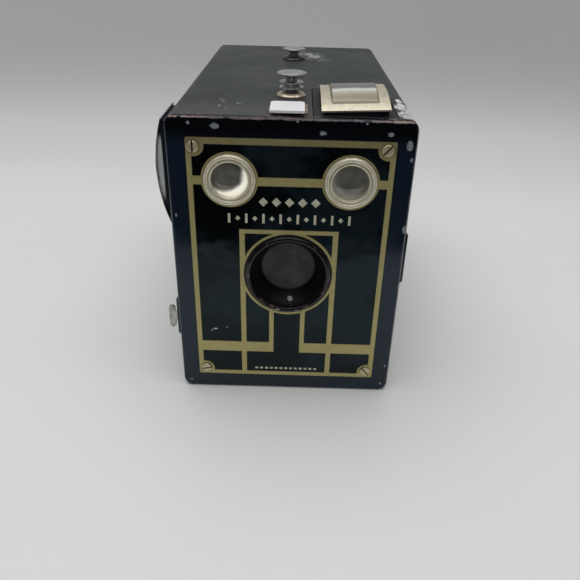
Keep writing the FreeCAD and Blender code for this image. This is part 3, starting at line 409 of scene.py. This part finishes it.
def dark_metal(name, dark, light, rough=(0.45, 0.65), seed=100.0, metallic=0.0, scratches=0.25):
    """Blackened or painted sheet metal with faint clouds and hairline scratches."""
    f = Finish(name)
    colour = f.mix(f.remap(f.noise(0.12, 4.0, 0.6, seed=seed), 0.35, 0.65), dark, light)
    hair = f.remap(f.noise(0.6, 2.0, 0.5, stretch=(0.25, 4.0, 4.0), seed=seed + 1), 0.66, 0.72)
    colour = f.mix(f.math("MULTIPLY", hair, scratches), colour,
                   tuple(min(1.0, 4 * c) for c in light))
    colour = f.mix(f.math("MULTIPLY", f.edge(0.25), 0.35), colour,
                   tuple(min(1.0, 3 * c) for c in light))
    relief = f.bump(f.noise(2.5, 3.0, 0.6, seed=seed + 2), 0.012)
    return f.set(Base_Color=colour, Metallic=metallic, Normal=relief,
                 Roughness=f.remap(f.noise(0.5, 3.0, seed=seed + 3), 0.3, 0.7, *rough))


def finder_box_enamel():
    """Navy boxes: covered on top like the body, with a bare grey lip round the side window."""
    f = Finish("finder_box_enamel")
    navy = f.mix(f.noise(0.1, 3.0, seed=105.0), (0.0045, 0.0080, 0.0165), (0.0100, 0.0165, 0.0290))
    cover = f.math("MULTIPLY", f.remap(f.z, TOP_Z - 0.7, TOP_Z - 0.4),
                   f.remap(f.z, TOP_Z + 0.3, TOP_Z + 0.1))
    colour = f.mix(cover, navy, (0.0160, 0.0185, 0.0200))
    lip = f.math("MULTIPLY", f.remap(f.x, -HALF_W - 1.9, -HALF_W - 2.3),
                 f.math("MULTIPLY", f.remap(f.z, 74.0, 79.0), f.remap(f.z, 98.0, 95.0)))
    grey = f.mix(f.noise(0.5, 3.0, seed=106.0), (0.42, 0.425, 0.43), (0.60, 0.605, 0.61))
    colour = f.mix(lip, colour, grey)
    return f.set(Base_Color=colour, Roughness=f.blend(cover, 0.32, 0.6),
                 Normal=f.bump(f.noise(1.6, 3.0, seed=107.0), 0.012), Specular_IOR_Level=0.35)


def steel(name="bare_steel", tint=(0.42, 0.42, 0.41), seed=120.0):
    """Plain drawn steel with a lengthwise grain."""
    f = Finish(name)
    draw = f.noise(0.8, 3.0, 0.6, stretch=(0.15, 5.0, 5.0), seed=seed)
    colour = f.mix(draw, tuple(c * 0.75 for c in tint), tuple(min(1.0, c * 1.3) for c in tint))
    spots = f.remap(f.noise(0.9, 4.0, 0.6, seed=seed + 1), 0.62, 0.75)
    colour = f.mix(f.math("MULTIPLY", spots, 0.5), colour, (0.11, 0.075, 0.045))
    return f.set(Base_Color=colour, Metallic=1.0, Normal=f.bump(draw, 0.01),
                 Roughness=f.remap(draw, 0.3, 0.7, 0.26, 0.42))


def finder_glass(name, centre, dark, reach, glow):
    """Finder lens from the front: grey around the place `dark`, with a painted highlight crescent
    opposite that also glows.

    Places and reach are in lens radii from the centre of the lens.
    """
    f = Finish(name)
    x, z = centre
    radius = (span(name)[1].x - span(name)[0].x) / 2
    off = f.vector("SUBTRACT", f.mm, (x, 0, z))
    pool = f.mix(f.remap(f.noise(0.22, 3.0, 0.5, seed=131.0 + x), 0.3, 0.7), (0.095, 0.090, 0.074),
                 (0.165, 0.158, 0.135))
    away = f.vector("SUBTRACT", off, (dark[0] * radius, 0, dark[1] * radius))
    away = f.vector("LENGTH", f.vector("MULTIPLY", away, (1 / radius, 0, 1 / radius)))
    torn = f.math("MULTIPLY", f.math("SUBTRACT", f.noise(0.3, 3.0, 0.6, seed=134.0), 0.5), 0.30)
    # painted highlight: a bright crescent away from `dark`; it also drives the emission, so the
    # lens glows there
    lit = f.math("MULTIPLY", f.remap(f.math("ADD", away, torn), *reach), glow)
    pool = f.mix(lit, pool, (0.97, 0.95, 0.86))
    relief = f.bump(f.noise(0.35, 2.0, seed=133.0), 0.03)
    return f.set(Base_Color=pool, Roughness=0.08, Metallic=0.10, IOR=1.52, Normal=relief,
                 Coat_Weight=0.6, Coat_Roughness=0.05, Transmission_Weight=0.04,
                 Emission_Color=pool, Emission_Strength=f.math("MULTIPLY", lit, 0.42))


def window_glass(name, along):
    """Bulged condenser glass over a mirror: painted warm reflection in front, painted highlight
    band, dark far end.
    """
    f = Finish(name)
    low, high = span(name)
    start, end = low[along], high[along]
    place = f.remap((f.x, f.y, f.z)[along], start, end)
    # the ramp paints the light on the glass: a warm painted reflection in front, a bright painted
    # highlight band, then darker grey
    node = f.add("ShaderNodeValToRGB")
    stops = ((0.0, (0.27, 0.23, 0.165)), (0.09, (0.34, 0.305, 0.235)), (0.17, (0.47, 0.45, 0.39)),
             (0.25, (0.70, 0.69, 0.62)), (0.33, (0.17, 0.17, 0.168)), (1.0, (0.10, 0.10, 0.10)))
    ramp = node.color_ramp
    while len(ramp.elements) < len(stops):
        ramp.elements.new(0.5)
    for element, (position, tone) in zip(ramp.elements, stops):
        element.position = position
        element.color = (*tone, 1.0)
    wave = f.math("MULTIPLY", f.math("SUBTRACT", f.noise(0.12, 3.0, 0.6, seed=141.0), 0.5), 0.14)
    f.feed(node.inputs[0], f.math("ADD", place, wave))
    across = f.x if along == 1 else f.y
    middle = (low[0] + high[0]) / 2 if along == 1 else (low[1] + high[1]) / 2
    half = (high[0] - low[0]) / 2 if along == 1 else (high[1] - low[1]) / 2
    off = f.math("ABSOLUTE", f.math("SUBTRACT", across, middle))
    border = f.math("MAXIMUM", f.remap(off, half - 0.55, half - 0.35), f.remap(place, 0.012, 0.004))
    tone = f.mix(f.math("MULTIPLY", border, 0.85), node.outputs[0], (0.13, 0.095, 0.045))
    relief = f.bump(f.noise(0.25, 2.0, seed=142.0), 0.05)
    return f.set(Base_Color=tone, Roughness=0.08, IOR=1.52, Normal=relief,
                 Coat_Weight=0.12, Coat_Roughness=0.05, Transmission_Weight=0.05,
                 Specular_IOR_Level=0.2)


def clear_glass():
    f = Finish("clear_glass")
    haze = f.remap(f.noise(0.3, 3.0, 0.6, seed=151.0), 0.3, 0.7, 0.03, 0.10)
    return f.set(Base_Color=f.mix(haze, (0.93, 0.94, 0.92), (0.80, 0.80, 0.74)), Roughness=haze,
                 IOR=1.52, Transmission_Weight=1.0)


def red_celluloid():
    f = Finish("red_celluloid")
    colour = f.mix(f.noise(0.4, 3.0, seed=161.0), (0.20, 0.004, 0.003), (0.32, 0.012, 0.006))
    gloss = f.remap(f.noise(0.8, 3.0, seed=162.0), 0.3, 0.7, 0.06, 0.2)
    return f.set(Base_Color=colour, Roughness=gloss, IOR=1.5,
                 Transmission_Weight=0.4, Coat_Weight=0.6, Coat_Roughness=0.05)


def mirror():
    f = Finish("mirror")
    age = f.remap(f.noise(0.2, 4.0, 0.7, seed=171.0), 0.5, 0.75)
    return f.set(Base_Color=f.mix(age, (0.86, 0.86, 0.85), (0.55, 0.52, 0.46)), Metallic=1.0,
                 Roughness=f.remap(age, 0.0, 1.0, 0.02, 0.18))


def print_ink():
    """Pale printed marks, thin and a little rubbed."""
    f = Finish("pale_print")
    rub = f.remap(f.noise(0.8, 4.0, 0.7, seed=181.0), 0.42, 0.72)
    colour = f.mix(rub, (0.58, 0.565, 0.44), (0.34, 0.33, 0.245))
    return f.set(Base_Color=colour, Metallic=0.2, Roughness=f.blend(rub, 0.38, 0.55),
                 Normal=f.bump(f.noise(2.5, 2.0, seed=182.0), 0.01))


# ---- finishes on the parts ------------------------------------------------------------------
def paint(names, material):
    for name in names.split():
        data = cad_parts[name].data
        data.materials.clear()
        data.materials.append(material)


def finder_centre(side):
    low, high = span("finder_lens_" + side)
    return (low.x + high.x) / 2, (low.z + high.z) / 2


paint("front_panel lever_guide tab_guide", navy_enamel())
paint("face_plate", plate_enamel())
paint("lens_hood", hood_enamel())
paint("face_trim", brass_line())

# Parts; material; bright and dull colour; roughness range; dirt; seed of the noise; the rest.
PLATED = (
    ("face_screws", "screw_brass", (0.66, 0.60, 0.40), (0.50, 0.44, 0.28), (0.24, 0.36),
     0.35, 200.0, {"metallic": 0.55, "slot_y": SCREW_Y + 0.34}),
    ("finder_bezels", "bezel_nickel", (0.80, 0.755, 0.62), (0.66, 0.605, 0.46), (0.28, 0.38),
     0.5, 210.0, {"metallic": 0.45}),
    ("front_strap_post rear_strap_post", "post_nickel", (0.40, 0.405, 0.415), (0.31, 0.31, 0.31),
     (0.18, 0.30), 0.3, 220.0, {"metallic": 0.55}),
    ("strap_eyelet", "eyelet_nickel", (0.66, 0.66, 0.66), (0.50, 0.49, 0.47), (0.14, 0.3),
     0.4, 230.0, {"metallic": 0.6}),
    ("post_eyelets", "eyelet_brass", (0.62, 0.54, 0.42), (0.42, 0.34, 0.24), (0.24, 0.38),
     0.6, 240.0, {"rear": (0.055, 0.050, 0.046), "metallic": 0.5}),
    ("catch_plate", "catch_nickel", (0.97, 0.96, 0.98), (0.90, 0.88, 0.93), (0.36, 0.46),
     0.2, 250.0, {"metallic": 0.3}),
    ("catch_base", "catch_tan", (0.52, 0.42, 0.30), (0.36, 0.28, 0.19), (0.3, 0.45),
     0.6, 260.0, {}),
    ("winding_knob winding_bush", "key_nickel", (0.72, 0.70, 0.66), (0.58, 0.56, 0.52),
     (0.26, 0.38), 0.18, 270.0, {"metallic": 0.75}),
    ("shutter_lever", "lever_nickel", (0.50, 0.49, 0.47), (0.34, 0.33, 0.30), (0.3, 0.42),
     0.5, 280.0, {}))
for parts, *plating, rest in PLATED:
    paint(parts, nickel(*plating, **rest))

paint("window_frame_top window_frame_side", frame_nickel())
paint("leatherette_wrap leatherette_base leatherette_back", leatherette())
paint("shell back_panel front_tray light_cone_front light_cone_sides light_cone_floor_and_roof "
      "film_gate carrier_plates lens_cell shutter_plate",
      dark_metal("black_sheet", (0.006, 0.006, 0.0065), (0.014, 0.014, 0.015)))
paint("finder_box_top finder_box_side", finder_box_enamel())
paint("shutter_disc", dark_metal("disc_black", (0.040, 0.040, 0.037), (0.072, 0.073, 0.068),
                                 (0.5, 0.7), 110.0, 0.1, 0.12))
paint("winding_shaft ratchet_wheel winding_pawl catch_pin front_post_clip rear_post_clip "
      "red_window_ring shutter_rivets shutter_spring aperture_slide time_slide lens_retainer "
      "film_roller_top film_roller_bottom spool_springs", steel())
paint("spool_core spool_flanges",
      dark_metal("spool_metal", (0.018, 0.018, 0.018), (0.04, 0.04, 0.04), (0.4, 0.6), 115.0,
                 0.3, 0.5))
paint("finder_lens_left", finder_glass("finder_lens_left", finder_centre("left"),
                                       (-0.30, 0.36), (0.86, 1.20), 1.0))
paint("finder_lens_right", finder_glass("finder_lens_right", finder_centre("right"),
                                        (0.12, 0.22), (0.70, 1.30), 0.30))
paint("window_glass_top", window_glass("window_glass_top", 1))
paint("window_glass_side", window_glass("window_glass_side", 2))
paint("meniscus_lens", clear_glass())
paint("red_window", red_celluloid())
paint("finder_mirror_top finder_mirror_side", mirror())


# ---- smooth curves and soft edges on the parts ----------------------------------------------
SOFT_EDGE = {"front_panel": 0.35, "face_plate": 0.08, "face_trim": 0.05, "catch_plate": 0.18,
             "window_frame_top": 0.2, "window_frame_side": 0.2, "shutter_lever": 0.2,
             "lever_guide": 0.25, "tab_guide": 0.25, "winding_knob": 0.2, "front_strap_post": 0.1,
             "rear_strap_post": 0.1, "leatherette_back": 0.2, "leatherette_wrap": 0.12,
             "back_panel": 0.12, "window_glass_top": 0.25, "window_glass_side": 0.25}
CREASE = math.radians(35)


def soften(name, part):
    """Welds the part's facets, smooths its curved faces and rounds its sharp edges a little."""
    weld = part.modifiers.new("weld", "WELD")
    weld.merge_threshold = 0.002 * MM
    for face in part.data.polygons:
        face.use_smooth = True
    width = SOFT_EDGE.get(name, 0.05)
    bevel = part.modifiers.new("soft_edge", "BEVEL")
    bevel.limit_method = "ANGLE"
    bevel.angle_limit = CREASE
    bevel.width = width * MM
    bevel.segments = 2
    bevel.use_clamp_overlap = True
    normals = part.modifiers.new("even_shading", "WEIGHTED_NORMAL")
    normals.keep_sharp = True


for node_name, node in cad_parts.items():
    soften(node_name, node)


# ---- pieces made here -----------------------------------------------------------------------
def prism(name, outlines, y_front, y_back, material, body):
    """Flat marks on the face: each outline is a list of (x, z), in millimetres."""
    mesh = bpy.data.meshes.new(name)
    made = bmesh.new()
    for outline in outlines:
        front = [made.verts.new(Vector((x, y_front, z)) * MM) for x, z in outline]
        back = [made.verts.new(Vector((x, y_back, z)) * MM) for x, z in outline]
        made.faces.new(front)
        made.faces.new(back[::-1])
        count = len(outline)
        for i in range(count):
            j = (i + 1) % count
            made.faces.new((front[j], front[i], back[i], back[j]))
    bmesh.ops.recalc_face_normals(made, faces=made.faces)
    made.to_mesh(mesh)
    made.free()
    mesh.materials.append(material)
    piece = bpy.data.objects.new(name, mesh)
    bpy.context.scene.collection.objects.link(piece)
    bevel = piece.modifiers.new("soft_edge", "BEVEL")
    bevel.width = 0.03 * MM
    bevel.segments = 2
    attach(piece, body)
    return piece


def lozenge(x, z, half_x, half_z):
    return [(x - half_x, z), (x, z - half_z), (x + half_x, z), (x, z + half_z)]


def stroke(x, z, half_x, half_z):
    return [(x - half_x, z - half_z), (x + half_x, z - half_z), (x + half_x, z + half_z),
            (x - half_x, z + half_z)]


def row(count, spacing):
    return [(k - (count - 1) / 2) * spacing for k in range(count)]


ink = print_ink()
MARK_Y = PLATE_Y - 0.06                   # printed marks stand this little in front of the plate
UPPER_ROW_Z, LOWER_ROW_Z, FOOT_ROW_Z = 77.65, 71.75, 9.85
upper = [lozenge(x, UPPER_ROW_Z, 1.55, 1.6) for x in row(5, 4.3)]
lower = []
for number, x in enumerate(row(15, 2.85)):
    tall = number % 2 == 0
    lower.append(stroke(x, LOWER_ROW_Z, 0.42, 1.7) if tall
                 else lozenge(x, LOWER_ROW_Z, 0.85, 0.95))
prism("face_ornament_upper", upper, MARK_Y, PLATE_Y, ink, "front_section")
prism("face_ornament_lower", lower, MARK_Y, PLATE_Y, ink, "front_section")
prism("face_ornament_foot", [stroke(x, FOOT_ROW_Z, 0.55, 0.42) for x in row(13, 1.85)],
      MARK_Y, PLATE_Y, ink, "front_section")


# ---- stage, light and camera ----------------------------------------------------------------
def stage_mesh(name, vertices, faces, material):
    mesh = bpy.data.meshes.new(name)
    mesh.from_pydata(vertices, [], faces)
    mesh.materials.append(material)
    for face in mesh.polygons:
        face.use_smooth = True
    made = bpy.data.objects.new(name, mesh)
    bpy.context.scene.collection.objects.link(made)
    return made


def backdrop_paper():
    f = Finish("backdrop_paper")
    paper = f.mix(f.noise(0.01, 3.0, seed=301.0), (0.700, 0.702, 0.698), (0.735, 0.737, 0.733))
    # painted shade: the paper grows darker further back, and darker again behind the middle
    fall = f.math("MULTIPLY", f.remap(f.y, 90.0, 270.0, 1.0, 0.86),
                  f.remap(f.y, 230.0, 560.0, 1.0, 0.71))
    middle = f.math("MULTIPLY", f.remap(f.y, 300.0, 600.0),
                    f.remap(f.math("ABSOLUTE", f.x), 750.0, 80.0))
    shade = f.math("MULTIPLY", fall, f.math("SUBTRACT", 1.0, f.math("MULTIPLY", middle, 0.22)))
    f.set(Base_Color=f.mix(shade, (0.0, 0.0, 0.0), paper), Roughness=0.62,
          Normal=f.bump(f.noise(0.8, 3.0, seed=302.0), 0.02))
    return f.material


def backdrop():
    """A sheet of pale paper that lies flat and sweeps up behind the camera."""
    half, near, bend_at, radius, top = 2.4, -2.4, 0.36, 0.42, 2.2
    line = [(near, 0.0), (bend_at, 0.0)]
    steps = 24
    for k in range(1, steps + 1):
        a = math.radians(90 * k / steps)
        line.append((bend_at + radius * math.sin(a), radius * (1 - math.cos(a))))
    line.append((bend_at + radius, top))
    vertices = [(x, y, z) for y, z in line for x in (-half, half)]
    faces = [(2 * i, 2 * i + 1, 2 * i + 3, 2 * i + 2) for i in range(len(line) - 1)]
    return stage_mesh("backdrop", vertices, faces, backdrop_paper())


def dark_flag():
    """A black studio flag in front of the face, which only reflections in glossy parts see: a
    painted dark reflection.
    """
    f = Finish("flag_black")
    f.set(Base_Color=f.mix(f.noise(0.01, seed=303.0), (0.010, 0.010, 0.012), (0.02, 0.02, 0.022)),
          Roughness=0.9)
    low, high, half, near, far = 0.008, 0.55, 0.7, -0.175, -0.175 - 0.03
    corners = [(-half, near, low), (half, near, low), (half, far, high), (-half, far, high)]
    flag = stage_mesh("flag", corners, [(0, 1, 2, 3)], f.material)
    flag.visible_camera = False
    flag.visible_diffuse = False
    flag.visible_shadow = False
    flag.visible_transmission = False
    return flag


def area_light(name, place, aim, size, power, colour=(1, 1, 1)):
    data = bpy.data.lights.new(name, "AREA")
    data.shape = "RECTANGLE"
    data.size, data.size_y = size
    data.energy = power
    data.color = colour
    lamp = bpy.data.objects.new(name, data)
    lamp.location = place
    lamp.rotation_euler = (Vector(aim) - Vector(place)).to_track_quat("-Z", "Y").to_euler()
    bpy.context.scene.collection.objects.link(lamp)
    return lamp


def make_lights():
    area_light("overhead", (-0.06, -0.05, 1.15), (0, 0.0, 0), (1.5, 1.3), 13.6, (1.0, 1.0, 0.995))
    area_light("front_fill", (0.1, -1.3, 0.9), (0, 0, 0.05), (1.2, 0.8), 0.8, (1.0, 1.0, 1.0))
    world = bpy.data.worlds.new("studio")
    world.use_nodes = True
    shade = world.node_tree.nodes["Background"]
    shade.inputs[0].default_value = (0.80, 0.81, 0.80, 1)
    shade.inputs[1].default_value = 0.28
    bpy.context.scene.world = world


def make_camera():
    """Looks down on the front of the box from just right of its middle."""
    data = bpy.data.cameras.new("view")
    data.sensor_width = 36.0
    data.lens = 37.10
    view = bpy.data.objects.new("view", data)
    pitch, roll, turn = math.radians(-30.29), math.radians(-1.477), math.radians(0.301)
    level = Matrix(((1, 0, 0), (0, 0, -1), (0, 1, 0)))   # looks along +Y with +Z up
    spin = (Matrix.Rotation(turn, 3, "Z") @ Matrix.Rotation(pitch, 3, "X")
            @ Matrix.Rotation(roll, 3, "Y"))
    place = Matrix.Translation(Vector((1.83, -255.42, 151.56)) * MM)
    view.matrix_world = place @ (spin @ level).to_4x4()
    data.clip_start, data.clip_end = 0.01, 20.0
    bpy.context.scene.collection.objects.link(view)
    bpy.context.scene.camera = view


backdrop()
dark_flag()
make_lights()
make_camera()
bpy.context.scene.view_settings.view_transform = "Standard"
bpy.context.scene.view_settings.look = "None"
